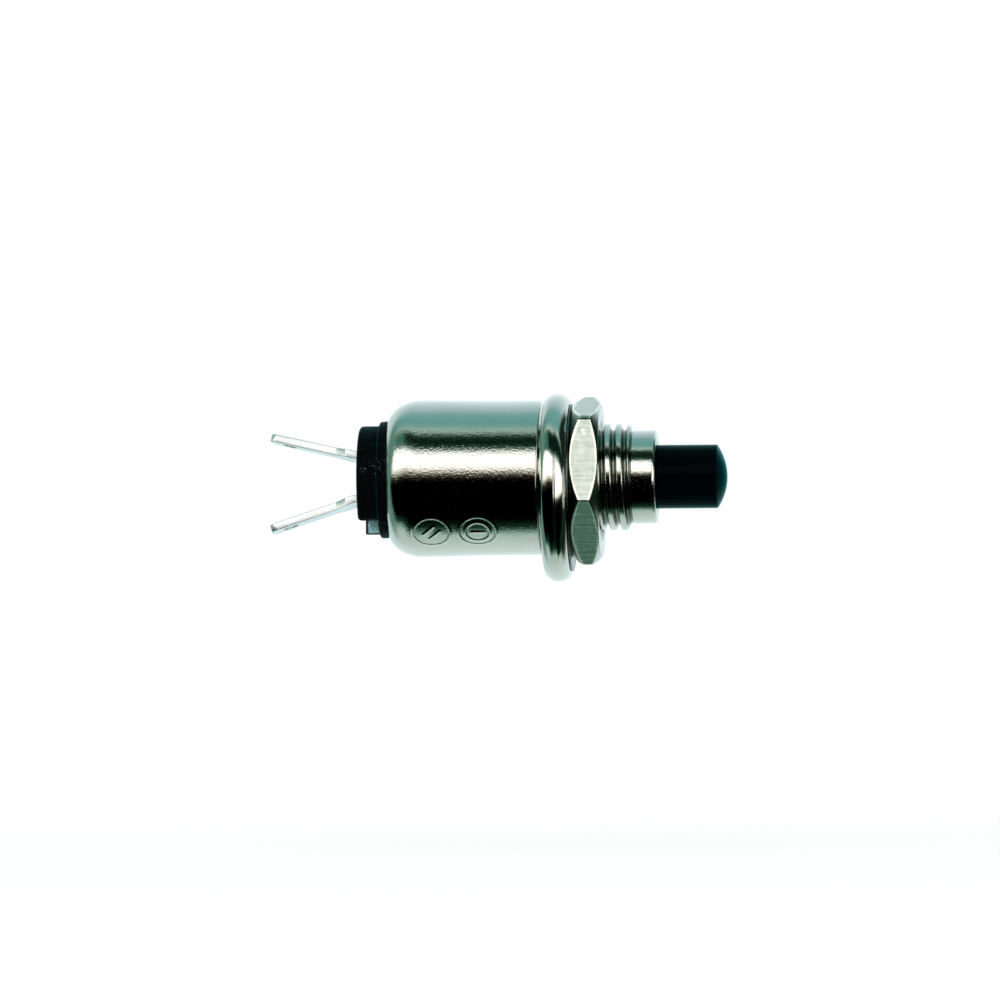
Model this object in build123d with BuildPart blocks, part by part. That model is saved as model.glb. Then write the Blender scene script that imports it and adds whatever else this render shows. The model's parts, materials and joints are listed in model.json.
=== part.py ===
from build123d import *
import os
from math import atan, cos, degrees, radians, sin, sqrt, tan

# Miniature momentary push button with a threaded bush, in millimetres.
# The button's axis is +X, +Z is up, and the origin is where the axis meets
# the front face of the can, the face that seats against a panel.

os.makedirs("parts", exist_ok=True)

# ---- Driving dimensions ----

# Can: one deep drawn cup, its rear edge spun inward over the base
can_diameter = 10.14
can_swell = 0.14  # growth in diameter where the rear is spun over the base
can_straight = 3.6  # length behind the front face that isn't swollen
can_length = 10.24
can_wall = 0.35
can_front_edge = 0.15  # radius of the front edge
can_taper_length = 1.3  # where the rear shoulder starts to draw in
can_taper_drop = 0.31
can_rear_corner = 1.8  # radius that turns the shoulder into the lip
can_rear_opening = 7.84

# Bush: turned, with a plain nose in front of the thread
thread_diameter = 7.0
thread_length = 5.85
thread_runout = 0.15
nose_diameter = 6.1
nose_length = 1.55
nose_edge = 0.2
bush_flange_thickness = 1.0

# Hardware on the thread, from the can outward
ring_width = 1.70
ring_diameter = 12.33
ring_bore = 8.4
ring_edge_drop = 0.48  # how much lower the rim is at its two sides
ring_crease_depth = 0.02  # shallow line rolled into the rim
ring_crease_share = 0.58  # place of that line across the rim
washer_thickness = 0.10
washer_diameter = 11.0
washer_bore = 8.4
nut_across_flats = 10.0
nut_thickness = 1.88
nut_play = 0.22  # radial play of the loose nut on the thread
nut_turn = 13.0  # clocking of the hexagon about the axis
nut_front_face = 10.0  # diameter of the face inside each chamfer
nut_rear_face = 9.9
nut_front_chamfer = 33.5  # slope of each chamfer from the face
nut_rear_chamfer = 39.5
nut_bore_chamfer = 0.3

# Button: moulded in one piece with its shoulder and its hub
button_diameter = 4.18
button_length = 3.96  # straight side in front of the nose
button_dome = 0.66
shoulder_diameter = 5.8
shoulder_thickness = 0.8
hub_diameter = 3.2
hub_bore = 2.2
hub_bore_floor = 0.25  # plastic between the hub bore and the shoulder's rear
hub_tail = 0.45  # hub left behind the retaining ring
travel = 1.6

# Base: moulded phenolic, with a D-shaped boss behind the can
flange_height = 0.38
boss_height = 1.41
boss_diameter = 7.1
boss_flat = 2.46  # distance of the flat from the axis
boss_edge = 0.28
tab_depth = 3.59  # reach of the key under the flat
tab_length = 1.02
tab_width = 1.3
tab_corner = 0.25
post_height = 0.8
base_turn = -6.0  # clocking of the base and its terminals about the axis

# Terminals: blanked and bent strip
strip = 0.5
terminal_height = 1.46  # centre of the strip from the axis
slot_width = 1.9
root_width = 3.2
root_length = 0.85
root_taper = 0.7
lug_width = 2.0
lug_corner = 0.55
lug_length = 5.87  # from the boss to the tips, along the axis
lug_bend_radius = 0.6
lug_bend_offset = 0.3
upper_bend = 13.0
lower_bend = 18.5
foot_bend_radius = 0.4
eyelet_diameter = 1.0
eyelet_from_tip = 1.3

# Contacts
fixed_contact_diameter = 1.6
fixed_contact_head = 0.6
shank_diameter = 0.8
shank_length = 1.1
moving_contact_diameter = 1.4
moving_contact_head = 0.3
bridge_thickness = 0.3
bridge_hub_gap = 0.08

# Springs, retaining ring and sleeve
contact_spring_length = 2.4
contact_spring_wire = 0.28
contact_spring_turns = 4.5
return_spring_wire = 0.24
return_spring_turns = 8.5
retainer_thickness = 0.3
retainer_diameter = 4.2
retainer_groove = 2.6
retainer_opening = 1.9
sleeve_wall = 0.3

# Clearances
running = 0.05  # button in the bush
seat = 0.03  # parts pushed or trapped in place
open_gap = 0.1  # left between the contacts at full travel
coil_gap = 0.15  # coils from what they run over or inside
hang = 0.03  # loose rings over the thread
side_gap = 0.17  # dress ring from the can
stack_gap = 0.02  # between the loose rings and the nut
wall_gap = 0.3  # live parts from the sleeve
neck_gap = 0.08  # base in the can's rear opening

# ---- Places and sizes worked out from them ----

can_radius = can_diameter / 2
can_rear_diameter = can_diameter + can_swell
cavity_radius = can_radius - can_wall
thread_radius = thread_diameter / 2
nose_start = thread_length + thread_runout
nose_end = nose_start + nose_length
bush_bore = button_diameter + 2 * running
bush_flange_front = -can_wall - seat
bush_flange_back = bush_flange_front - bush_flange_thickness

dome_start = nose_end + button_length
shoulder_front = bush_flange_back - seat
shoulder_back = shoulder_front - shoulder_thickness
bridge_front = shoulder_back - contact_spring_length
bridge_back = bridge_front - bridge_thickness
moving_contact_face = bridge_back - moving_contact_head
retainer_front = bridge_back - seat
retainer_back = retainer_front - retainer_thickness
hub_end = retainer_back - hub_tail
hub_bore_end = shoulder_back - hub_bore_floor
fixed_contact_face = moving_contact_face - travel - open_gap
foot_front = fixed_contact_face - fixed_contact_head
base_front = foot_front - strip
flange_end = -can_length - flange_height
boss_end = flange_end - boss_height
lug_tip = boss_end - lug_length

sleeve_radius = cavity_radius - seat
sleeve_bore_radius = sleeve_radius - sleeve_wall
bridge_radius = sleeve_bore_radius - wall_gap
contact_height = bridge_radius - moving_contact_diameter / 2 - seat
foot_reach = sleeve_bore_radius - wall_gap / 2

ring_start = side_gap
washer_start = ring_start + ring_width + stack_gap
nut_start = washer_start + washer_thickness + stack_gap
ring_sag = (ring_bore - thread_diameter) / 2 - hang
washer_sag = (washer_bore - thread_diameter) / 2 - hang

contact_spring_mean = hub_diameter + contact_spring_wire + 2 * coil_gap
return_spring_mean = hub_bore - return_spring_wire - 2 * coil_gap
post_diameter = return_spring_mean - return_spring_wire - 2 * coil_gap

# The base is turned about the axis with its terminals: these are its own
# upward and sideways directions, and the planes that its sketches lie on.
turn_cos = cos(radians(base_turn))
turn_sin = sin(radians(base_turn))
base_up = (0, -turn_sin, turn_cos)
base_across = (0, turn_cos, turn_sin)
base_side = Plane((0, 0, 0), x_dir=(1, 0, 0), z_dir=(0, -turn_cos, -turn_sin))
base_plan = Plane((0, 0, 0), x_dir=(1, 0, 0), z_dir=base_up)


def base_face(x):
    """The plane across the base at x: its own X goes across, its own Y up."""
    return Plane((x, 0, 0), x_dir=base_across, z_dir=(1, 0, 0))


def hanging_side(x, sag):
    """The lengthwise plane of a loose ring with its middle at x, and its turning axis."""
    middle = (x, 0, -sag)
    return Plane(middle, x_dir=(1, 0, 0), z_dir=(0, 0, 1)), Axis(middle, (1, 0, 0))


def hanging_face(x, sag):
    """The plane across a loose ring with its middle at x."""
    return Plane((x, 0, -sag), x_dir=(0, 1, 0), z_dir=(1, 0, 0))


def can_section(inset):
    """Half the can's section, moved inward by inset and closed on the axis."""
    rear_radius = can_rear_diameter / 2
    end_angle = 2 * atan(can_taper_drop / can_taper_length)
    corner_x = -can_length + can_rear_corner * (1 - sin(end_angle))
    taper_start = (corner_x + can_taper_length, rear_radius - inset)
    taper_end = (
        corner_x + inset * sin(end_angle),
        rear_radius - can_taper_drop - inset * cos(end_angle),
    )
    turn_angle = 90 - degrees(end_angle)
    with BuildSketch(Plane.XY) as section:
        with BuildLine():
            Polyline(
                (-inset, 0),
                (-inset, can_radius - inset),
                (-can_straight, can_radius - inset),
                taper_start,
            )
            taper = TangentArc(taper_start, taper_end, tangent=(-1, 0))
            turn_in = JernArc(taper_end, taper % 1, can_rear_corner - inset, turn_angle)
            Polyline(turn_in @ 1, ((turn_in @ 1).X, 0), (-inset, 0))
        make_face()
    return section.sketch


# ---- Can ----

with BuildPart() as can:
    revolve(can_section(0), axis=Axis.X)
    fillet(can.edges().filter_by(GeomType.CIRCLE).sort_by(Axis.X)[-1], can_front_edge)
    revolve(can_section(can_wall), axis=Axis.X, mode=Mode.SUBTRACT)
    # Rear opening for the base, front opening for the bush
    with BuildSketch(Plane.YZ.offset(-can_length)):
        Circle(can_rear_opening / 2)
    extrude(amount=can_length / 2, mode=Mode.SUBTRACT)
    with BuildSketch(Plane.YZ.offset(-can_length / 2)):
        Circle(thread_radius + seat)
    extrude(amount=can_length, mode=Mode.SUBTRACT)
can.part.label = "can"
export_step(can.part, "parts/can.step")

# ---- Threaded bush ----

with BuildPart() as threaded_bush:
    with BuildSketch(Plane.XY):
        with BuildLine():
            Polyline(
                (bush_flange_back, 0),
                (bush_flange_back, sleeve_radius),
                (bush_flange_front, sleeve_radius),
                (bush_flange_front, thread_radius),
                (thread_length, thread_radius),
                (nose_start, nose_diameter / 2),
                (nose_end, nose_diameter / 2),
                (nose_end, 0),
                close=True,
            )
        make_face()
    revolve(axis=Axis.X)
    nose_rim = threaded_bush.edges().filter_by(GeomType.CIRCLE).sort_by(Axis.X)[-1]
    fillet(nose_rim, nose_edge)
    with BuildSketch(Plane.YZ.offset(nose_end)):
        Circle(bush_bore / 2)
    extrude(amount=bush_flange_back - nose_end, mode=Mode.SUBTRACT)
threaded_bush.part.label = "threaded_bush"
export_step(threaded_bush.part, "parts/threaded_bush.step")

# ---- Dress ring: loose on the thread, crowned rim with a shallow crease ----

ring_half = ring_width / 2
ring_radius = ring_diameter / 2
crown_radius = (ring_half**2 + ring_edge_drop**2) / (2 * ring_edge_drop)
crease_x = ring_width * (ring_crease_share - 0.5)


def rim(x, depth=0):
    """The point on the crowned rim at x from its middle, or a depth below it."""
    crown = sqrt(crown_radius**2 - x**2) - crown_radius
    return (x, ring_radius + crown - depth)


ring_side, ring_axis = hanging_side(ring_start + ring_half, ring_sag)
with BuildPart() as dress_ring:
    with BuildSketch(ring_side):
        with BuildLine():
            Polyline(
                rim(-ring_half),
                (-ring_half, ring_bore / 2),
                (ring_half, ring_bore / 2),
                rim(ring_half),
            )
            crease = rim(crease_x, ring_crease_depth)
            ThreePointArc(rim(ring_half), rim((ring_half + crease_x) / 2), crease)
            ThreePointArc(crease, rim((crease_x - ring_half) / 2), rim(-ring_half))
        make_face()
    revolve(axis=ring_axis)
dress_ring.part.label = "dress_ring"
export_step(dress_ring.part, "parts/dress_ring.step")

# ---- Lock washer ----

with BuildPart() as lock_washer:
    with BuildSketch(hanging_face(washer_start + washer_thickness / 2, washer_sag)):
        Circle(washer_diameter / 2)
        Circle(washer_bore / 2, mode=Mode.SUBTRACT)
    extrude(amount=washer_thickness / 2, both=True)
lock_washer.part.label = "lock_washer"
export_step(lock_washer.part, "parts/lock_washer.step")

# ---- Hexagon nut, both faces chamfered ----

nut_half = nut_thickness / 2
nut_bore_radius = thread_radius + nut_play + hang
nut_corner_radius = nut_across_flats / 2 / cos(radians(30))
front_drop = (nut_corner_radius - nut_front_face / 2) * tan(radians(nut_front_chamfer))
rear_drop = (nut_corner_radius - nut_rear_face / 2) * tan(radians(nut_rear_chamfer))
nut_side, nut_axis = hanging_side(nut_start + nut_half, nut_play)
with BuildPart() as hex_nut:
    with BuildSketch(hanging_face(nut_start + nut_half, nut_play)):
        RegularPolygon(nut_across_flats / 2, 6, major_radius=False, rotation=nut_turn)
    extrude(amount=nut_half, both=True)
    with BuildSketch(nut_side):
        with BuildLine():
            Polyline(
                (-nut_half, 0),
                (-nut_half, nut_rear_face / 2),
                (-nut_half + rear_drop, nut_corner_radius),
                (nut_half - front_drop, nut_corner_radius),
                (nut_half, nut_front_face / 2),
                (nut_half, 0),
                close=True,
            )
        make_face()
    revolve(axis=nut_axis, mode=Mode.INTERSECT)
    with BuildSketch(nut_side):
        with BuildLine():
            Polyline(
                (-nut_half, 0),
                (-nut_half, nut_bore_radius + nut_bore_chamfer),
                (-nut_half + nut_bore_chamfer, nut_bore_radius),
                (nut_half - nut_bore_chamfer, nut_bore_radius),
                (nut_half, nut_bore_radius + nut_bore_chamfer),
                (nut_half, 0),
                close=True,
            )
        make_face()
    revolve(axis=nut_axis, mode=Mode.SUBTRACT)
hex_nut.part.label = "hex_nut"
export_step(hex_nut.part, "parts/hex_nut.step")

# ---- Button: domed end, stop shoulder, grooved hub bored for the return spring ----

button_radius = button_diameter / 2
hub_radius = hub_diameter / 2
with BuildPart() as button:
    with BuildSketch(Plane.XY):
        with BuildLine():
            Polyline(
                (dome_start, button_radius),
                (shoulder_front, button_radius),
                (shoulder_front, shoulder_diameter / 2),
                (shoulder_back, shoulder_diameter / 2),
                (shoulder_back, hub_radius),
                (bridge_back - seat / 2, hub_radius),
                (bridge_back - seat / 2, retainer_groove / 2),
                (retainer_back - seat / 2, retainer_groove / 2),
                (retainer_back - seat / 2, hub_radius),
                (hub_end, hub_radius),
                (hub_end, hub_bore / 2),
                (hub_bore_end, hub_bore / 2),
                (hub_bore_end, 0),
                (dome_start + button_dome, 0),
            )
            ThreePointArc(
                (dome_start + button_dome, 0),
                (
                    dome_start + button_dome * 3 / 4,
                    button_radius / 2,
                ),
                (dome_start, button_radius),
            )
        make_face()
    revolve(axis=Axis.X)
button.part.label = "button"
export_step(button.part, "parts/button.step")

# ---- Base: disc trapped by the can's lip, flange, D-shaped boss, key and spring post ----

both_sides = [(0, terminal_height), (0, -terminal_height)]
both_contacts = [(0, contact_height), (0, -contact_height)]
key_top = boss_flat - tab_corner
slot_edge = terminal_height + strip / 2 + seat
with BuildPart() as base:
    revolve(can_section(can_wall + seat), axis=Axis.X)
    split(bisect_by=Plane.YZ.offset(base_front), keep=Keep.BOTTOM)
    with BuildSketch(base_face(flange_end)):
        Circle(can_rear_opening / 2 - neck_gap)
    extrude(amount=base_front - flange_end)
    # Boss with its flat
    with BuildSketch(base_face(boss_end)):
        Circle(boss_diameter / 2)
        with Locations((0, -boss_flat)):
            below_flat = (Align.CENTER, Align.MAX)
            Rectangle(boss_diameter, boss_diameter, align=below_flat, mode=Mode.SUBTRACT)
    extrude(amount=boss_height)
    fillet(base.faces().sort_by(Axis.X)[0].edges(), boss_edge)
    # Key under the flat
    with BuildSketch(base_side) as key:
        with Locations((flange_end, -key_top)):
            Rectangle(tab_length, tab_depth - key_top, align=Align.MAX)
        fillet(key.vertices().group_by(Axis.X)[0].sort_by(Axis.Y)[0], tab_corner)
    extrude(amount=tab_width / 2, both=True)
    # Post that centres the return spring
    with BuildSketch(base_face(base_front)):
        Circle(post_diameter / 2)
    extrude(amount=post_height)
    # Slots for the terminals, eased where the feet bend over them
    with BuildSketch(base_face(boss_end)):
        with Locations(both_sides):
            Rectangle(slot_width + 2 * seat, strip + 2 * seat)
    extrude(amount=base_front - boss_end, mode=Mode.SUBTRACT)
    with BuildSketch(base_side):
        for side in (1, -1):
            with BuildLine():
                Polyline(
                    (base_front, side * slot_edge),
                    (base_front, side * (slot_edge + foot_bend_radius)),
                    (base_front - foot_bend_radius, side * slot_edge),
                    close=True,
                )
            make_face()
    extrude(amount=slot_width / 2 + seat, both=True, mode=Mode.SUBTRACT)
    # Blind holes for the contact shanks
    with BuildSketch(base_face(base_front)):
        with Locations(both_contacts):
            Circle(shank_diameter / 2 + seat)
    extrude(amount=-shank_length - seat, mode=Mode.SUBTRACT)
base.part.label = "base"
export_step(base.part, "parts/base.step")

# ---- Terminals: a foot inside, a wide root against the boss, a bent solder lug ----

foot_middle = base_front + strip / 2
bend_start = boss_end - lug_bend_offset
root_end = boss_end - root_length
taper_end = root_end - root_taper
for name, side, bend in (("upper", 1, upper_bend), ("lower", -1, lower_bend)):
    lean = radians(bend)
    tip_height = terminal_height + (bend_start - lug_tip) * tan(lean)
    eyelet_height = side * (tip_height - eyelet_from_tip * sin(lean))
    eyelet_plane = Plane(
        (
            lug_tip + eyelet_from_tip * cos(lean),
            -eyelet_height * turn_sin,
            eyelet_height * turn_cos,
        ),
        z_dir=(sin(lean), -side * cos(lean) * turn_sin, side * cos(lean) * turn_cos),
    )
    with BuildPart() as terminal:
        with BuildSketch(base_side):
            with BuildLine():
                FilletPolyline(
                    (foot_middle, side * foot_reach),
                    (foot_middle, side * terminal_height),
                    (bend_start, side * terminal_height),
                    (lug_tip, side * tip_height),
                    radius=[foot_bend_radius, lug_bend_radius],
                )
            trace(line_width=strip)
        extrude(amount=root_width / 2, both=True)
        with BuildSketch(base_plan):
            with BuildLine() as edge:
                Polyline(
                    (foot_front, 0),
                    (foot_front, slot_width / 2),
                    (boss_end, slot_width / 2),
                    (boss_end, root_width / 2),
                    (root_end, root_width / 2),
                    (taper_end, lug_width / 2),
                    (lug_tip - strip, lug_width / 2),
                    (lug_tip - strip, 0),
                )
                mirror(about=Plane.XZ)
            make_face()
        extrude(amount=lug_length, both=True, mode=Mode.INTERSECT)
        tip_face = terminal.faces().sort_by(Axis.X)[0]
        fillet(tip_face.edges().sort_by(SortBy.LENGTH)[:2], lug_corner)
        with BuildSketch(eyelet_plane):
            Circle(eyelet_diameter / 2)
        extrude(amount=strip, both=True, mode=Mode.SUBTRACT)
        with BuildSketch(base_face(base_front)):
            with Locations((0, side * contact_height)):
                Circle(shank_diameter / 2 + seat)
        extrude(amount=strip, mode=Mode.SUBTRACT)
    terminal.part.label = f"terminal_{name}"
    export_step(terminal.part, f"parts/terminal_{name}.step")

# ---- Contacts: rivets in the terminals' feet, and rivets in the moving bridge ----

contact_edge = 0.12
for name, side in (("upper", 1), ("lower", -1)):
    with BuildPart() as fixed_contact:
        with BuildSketch(base_face(foot_front)):
            with Locations((0, side * contact_height)):
                Circle(fixed_contact_diameter / 2)
        extrude(amount=fixed_contact_head)
        chamfer(fixed_contact.faces().sort_by(Axis.X)[-1].edges(), contact_edge)
        with BuildSketch(base_face(foot_front)):
            with Locations((0, side * contact_height)):
                Circle(shank_diameter / 2)
        extrude(amount=-strip - shank_length)
    fixed_contact.part.label = f"fixed_contact_{name}"
    export_step(fixed_contact.part, f"parts/fixed_contact_{name}.step")

    with BuildPart() as bridge_contact:
        with BuildSketch(base_face(bridge_back)):
            with Locations((0, side * contact_height)):
                Circle(moving_contact_diameter / 2)
        extrude(amount=-moving_contact_head)
        chamfer(bridge_contact.faces().sort_by(Axis.X)[0].edges(), contact_edge)
        with BuildSketch(base_face(bridge_back)):
            with Locations((0, side * contact_height)):
                Circle(shank_diameter / 2)
        extrude(amount=bridge_thickness)
    bridge_contact.part.label = f"bridge_contact_{name}"
    export_step(bridge_contact.part, f"parts/bridge_contact_{name}.step")

with BuildPart() as contact_bridge:
    with BuildSketch(base_face(bridge_back)):
        Circle(bridge_radius)
        Circle(hub_radius + bridge_hub_gap, mode=Mode.SUBTRACT)
        with Locations(both_contacts):
            Circle(shank_diameter / 2 + seat, mode=Mode.SUBTRACT)
    extrude(amount=bridge_thickness)
contact_bridge.part.label = "contact_bridge"
export_step(contact_bridge.part, "parts/contact_bridge.step")

# ---- Retaining ring in the hub's groove, open on one side ----

with BuildPart() as retaining_ring:
    with BuildSketch(Plane.YZ.offset(retainer_back)):
        Circle(retainer_diameter / 2)
        Circle(retainer_groove / 2 + seat, mode=Mode.SUBTRACT)
        Rectangle(
            retainer_diameter,
            retainer_opening,
            align=(Align.MIN, Align.CENTER),
            mode=Mode.SUBTRACT,
        )
    extrude(amount=retainer_thickness)
retaining_ring.part.label = "retaining_ring"
export_step(retaining_ring.part, "parts/retaining_ring.step")

# ---- Springs: wire coiled about the axis between its two seats ----

coils = (
    ("contact_spring", bridge_front, shoulder_back, contact_spring_mean,
     contact_spring_wire, contact_spring_turns),
    ("return_spring", base_front, hub_bore_end, return_spring_mean,
     return_spring_wire, return_spring_turns),
)
for name, rear_seat, front_seat, mean, wire, turns in coils:
    rise = front_seat - rear_seat - wire - 2 * seat
    with BuildPart() as spring:
        with BuildLine():
            coil = Helix(
                pitch=rise / turns,
                height=rise,
                radius=mean / 2,
                center=(rear_seat + wire / 2 + seat, 0, 0),
                direction=(1, 0, 0),
            )
        # An eight-sided wire keeps the coils' mesh light
        with BuildSketch(Plane(coil @ 0, z_dir=coil % 0)):
            RegularPolygon(wire / 2, 8)
        sweep()
    spring.part.label = name
    export_step(spring.part, f"parts/{name}.step")

# ---- Insulating sleeve between the bush flange and the base ----

with BuildPart() as insulating_sleeve:
    revolve(can_section(can_wall + seat), axis=Axis.X)
    split(bisect_by=Plane.YZ.offset(base_front), keep=Keep.TOP)
    split(bisect_by=Plane.YZ.offset(bush_flange_back), keep=Keep.BOTTOM)
    with BuildSketch(Plane.YZ.offset(bush_flange_back)):
        Circle(sleeve_bore_radius)
    extrude(amount=base_front - bush_flange_back, mode=Mode.SUBTRACT)
insulating_sleeve.part.label = "insulating_sleeve"
export_step(insulating_sleeve.part, "parts/insulating_sleeve.step")
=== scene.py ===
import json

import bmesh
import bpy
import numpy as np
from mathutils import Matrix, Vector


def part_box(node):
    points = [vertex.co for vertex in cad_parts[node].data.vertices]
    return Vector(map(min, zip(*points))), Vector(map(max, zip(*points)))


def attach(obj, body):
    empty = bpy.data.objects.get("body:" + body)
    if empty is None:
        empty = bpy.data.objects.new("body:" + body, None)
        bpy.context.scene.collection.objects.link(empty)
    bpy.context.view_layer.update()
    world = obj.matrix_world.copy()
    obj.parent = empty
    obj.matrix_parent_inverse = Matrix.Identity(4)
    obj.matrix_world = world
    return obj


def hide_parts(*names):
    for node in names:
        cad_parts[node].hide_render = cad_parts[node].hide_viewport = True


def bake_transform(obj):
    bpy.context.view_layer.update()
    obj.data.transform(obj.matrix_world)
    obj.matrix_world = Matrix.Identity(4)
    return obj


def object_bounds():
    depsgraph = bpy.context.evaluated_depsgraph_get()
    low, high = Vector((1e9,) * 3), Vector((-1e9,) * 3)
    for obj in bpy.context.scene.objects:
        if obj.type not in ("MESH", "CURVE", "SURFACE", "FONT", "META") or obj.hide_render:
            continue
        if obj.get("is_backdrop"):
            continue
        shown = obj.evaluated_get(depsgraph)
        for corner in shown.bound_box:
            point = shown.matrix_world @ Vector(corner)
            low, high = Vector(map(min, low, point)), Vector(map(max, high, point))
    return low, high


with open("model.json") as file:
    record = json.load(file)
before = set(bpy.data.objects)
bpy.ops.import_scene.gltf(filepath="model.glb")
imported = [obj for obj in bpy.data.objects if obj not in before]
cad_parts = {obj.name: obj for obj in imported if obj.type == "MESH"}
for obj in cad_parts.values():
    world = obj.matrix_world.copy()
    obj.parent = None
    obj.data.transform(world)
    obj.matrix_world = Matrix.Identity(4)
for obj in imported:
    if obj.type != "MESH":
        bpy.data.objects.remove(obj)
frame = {"nodes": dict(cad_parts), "record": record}

# %% [markdown]
# # A miniature push button
#
# This is a panel switch about 30 mm long: a nickel can, a threaded bush with a nut and
# two loose rings, a domed black button, and a moulded base with two solder lugs. Its
# solids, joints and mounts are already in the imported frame. This lesson dresses them.
# It makes finely faceted surfaces for the pieces that catch the light, mixes a finish
# for every piece, and sets up a small product studio. The button's axis is X, Z is up,
# and shapes are worked out in millimetres and written into the meshes in metres.

cad_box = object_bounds()
MM = 0.001
print("CAD box in mm:", [[round(v / MM, 2) for v in corner] for corner in cad_box])


def add_object(name, data):
    """A new object in the scene, for a mesh, a lamp or a camera."""
    obj = bpy.data.objects.new(name, data)
    bpy.context.collection.objects.link(obj)
    return obj


def node_box(node):
    """The lowest and highest corner of a CAD node at rest, in millimetres."""
    low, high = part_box(node)
    return np.array(low) / MM, np.array(high) / MM


# %% [markdown]
# ## From a profile to a skin
#
# Nearly every piece here is turned or drawn, so it starts as a profile: a row of points
# (x, r), where r is the distance from the axis. Real edges are never perfectly sharp,
# and a small rounding is what makes an edge shine. So a profile is given by its
# corners, each with a radius, and one formula rounds them all at once.

# %% Rounded profiles
ARC = np.linspace(0, 1, 7)
GUARD = 0.02  # millimetres of flat kept beside each rounded corner


def rounded(corners, closed=True):
    """A profile through corners (x, r, radius).

    Each corner P is replaced by the circular arc from A to B that touches both its
    sides: (u^2 A + 2 u s w P + s^2 B) / (u^2 + 2 u s w + s^2), where s runs from 0 to 1,
    u is 1 - s and w is the cosine of half the turn. A guard point on either side keeps
    the flats flat under smooth shading. An open profile keeps its two ends as they are.
    """
    corners = np.array(corners, dtype=float)
    point, radius = corners[:, :2], corners[:, 2]
    before = point - np.roll(point, 1, axis=0)
    after = np.roll(point, -1, axis=0) - point
    before /= np.linalg.norm(before, axis=1, keepdims=True)
    after /= np.linalg.norm(after, axis=1, keepdims=True)
    turn = np.arccos(np.clip((before * after).sum(axis=1), -1, 1))
    reach = (radius * np.tan(turn / 2))[:, None]
    start, end = point - reach * before, point + reach * after
    s, u = ARC[None, :, None], 1 - ARC[None, :, None]
    weight = np.cos(turn / 2)[:, None, None]
    bottom = u**2 + 2 * u * s * weight + s**2
    top = u**2 * start[:, None] + 2 * u * s * weight * point[:, None] + s**2 * end[:, None]
    arcs = np.concatenate(
        [(start - GUARD * before)[:, None], top / bottom, (end + GUARD * after)[:, None]], axis=1)
    if not closed:
        arcs[0], arcs[-1] = point[0], point[-1]
    return arcs.reshape(-1, 2)


def smooth_min(a, b, width):
    """The lesser of two arrays, blended where they differ by less than a width."""
    near = np.maximum(width - np.abs(a - b), 0) / width
    return np.minimum(a, b) - near**2 * width / 4


def smooth_step(value, start, end):
    """0 before start, 1 after end, and an S-shaped rise between them."""
    share = np.clip((value - start) / (end - start), 0, 1)
    return share**2 * (3 - 2 * share)


# %% [markdown]
# A skin is a grid of points joined into four-sided faces. Both directions of the grid
# close on themselves for a ring-shaped piece. Where a row shrinks to one point on the
# axis, merging its doubles turns its faces into a neat fan. Recalculating the normals
# then points every face outward.

# %% Skins


def merge(mesh, distance, outward=False, flatten=False):
    """Merge doubled points and shade the faces smooth.

    outward also turns every face outward, and flatten joins faces that lie in one plane.
    """
    work = bmesh.new()
    work.from_mesh(mesh)
    bmesh.ops.remove_doubles(work, verts=work.verts, dist=distance)
    if outward:
        bmesh.ops.recalc_face_normals(work, faces=work.faces)
    if flatten:
        bmesh.ops.dissolve_limit(
            work, angle_limit=np.radians(1), verts=work.verts, edges=work.edges)
    work.to_mesh(mesh)
    work.free()
    mesh.polygons.foreach_set("use_smooth", np.ones(len(mesh.polygons), dtype=bool))


def skin(name, *grids, sharp=35, **marks):
    """One mesh from grids of points (rows, columns, xyz) in millimetres.

    Each grid is a closed surface: point (i, j) is joined to (i+1, j), (i+1, j+1) and
    (i, j+1), and both counts start again after the last. A grid whose first column is
    one point on the axis ends at its poles instead. Each mark is a value for every
    point, kept as a named attribute that a material can read.
    """
    points, faces, count = [], [], 0
    for grid in grids:
        rows, columns = grid.shape[:2]
        index = np.arange(rows * columns).reshape(rows, columns) + count
        along = np.roll(index, -1, axis=0)
        both = np.roll(along, -1, axis=1)
        across = np.roll(index, -1, axis=1)
        quads = np.stack([index, along, both, across], axis=-1)
        if np.ptp(grid[:, 0], axis=0).max() < 1e-9:
            quads = quads[:, :-1]
        faces.append(quads.reshape(-1, 4))
        points.append(grid.reshape(-1, 3) * MM)
        count += rows * columns
    points, faces = np.concatenate(points), np.concatenate(faces)
    mesh = bpy.data.meshes.new(name)
    mesh.vertices.add(len(points))
    mesh.vertices.foreach_set("co", points.astype(np.float32).ravel())
    mesh.loops.add(faces.size)
    mesh.loops.foreach_set("vertex_index", faces.astype(np.int32).ravel())
    mesh.polygons.add(len(faces))
    mesh.polygons.foreach_set("loop_start", np.arange(0, faces.size, 4, dtype=np.int32))
    mesh.update(calc_edges=True)
    for mark, values in marks.items():
        layer = mesh.attributes.new(mark, "FLOAT", "POINT")
        layer.data.foreach_set("value", np.asarray(values, dtype=np.float32).ravel())
    merge(mesh, 1e-8, outward=True)
    mesh.set_sharp_from_angle(angle=np.radians(sharp))
    print(name, "has", len(mesh.polygons), "faces")
    return add_object(name, mesh)


def pairs(x, r):
    """Points (x, r). Where r has a row for every angle, x is repeated to match."""
    return np.stack(np.broadcast_arrays(x, r), axis=-1)


def turned(profile, angles):
    """A profile carried round the X axis.

    A point (x, r) at angle a goes to (x, -r cos a, r sin a): angle 0 faces the front
    and 90 degrees is the top. The profile may have a row of its own for every angle.
    """
    x, r = profile[..., 0], profile[..., 1]
    a = angles[:, None]
    return np.stack([x + 0 * a, -r * np.cos(a), r * np.sin(a)], axis=-1)


def around(count):
    """Evenly spaced angles round a full turn."""
    return np.linspace(0, 2 * np.pi, count, endpoint=False)


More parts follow.
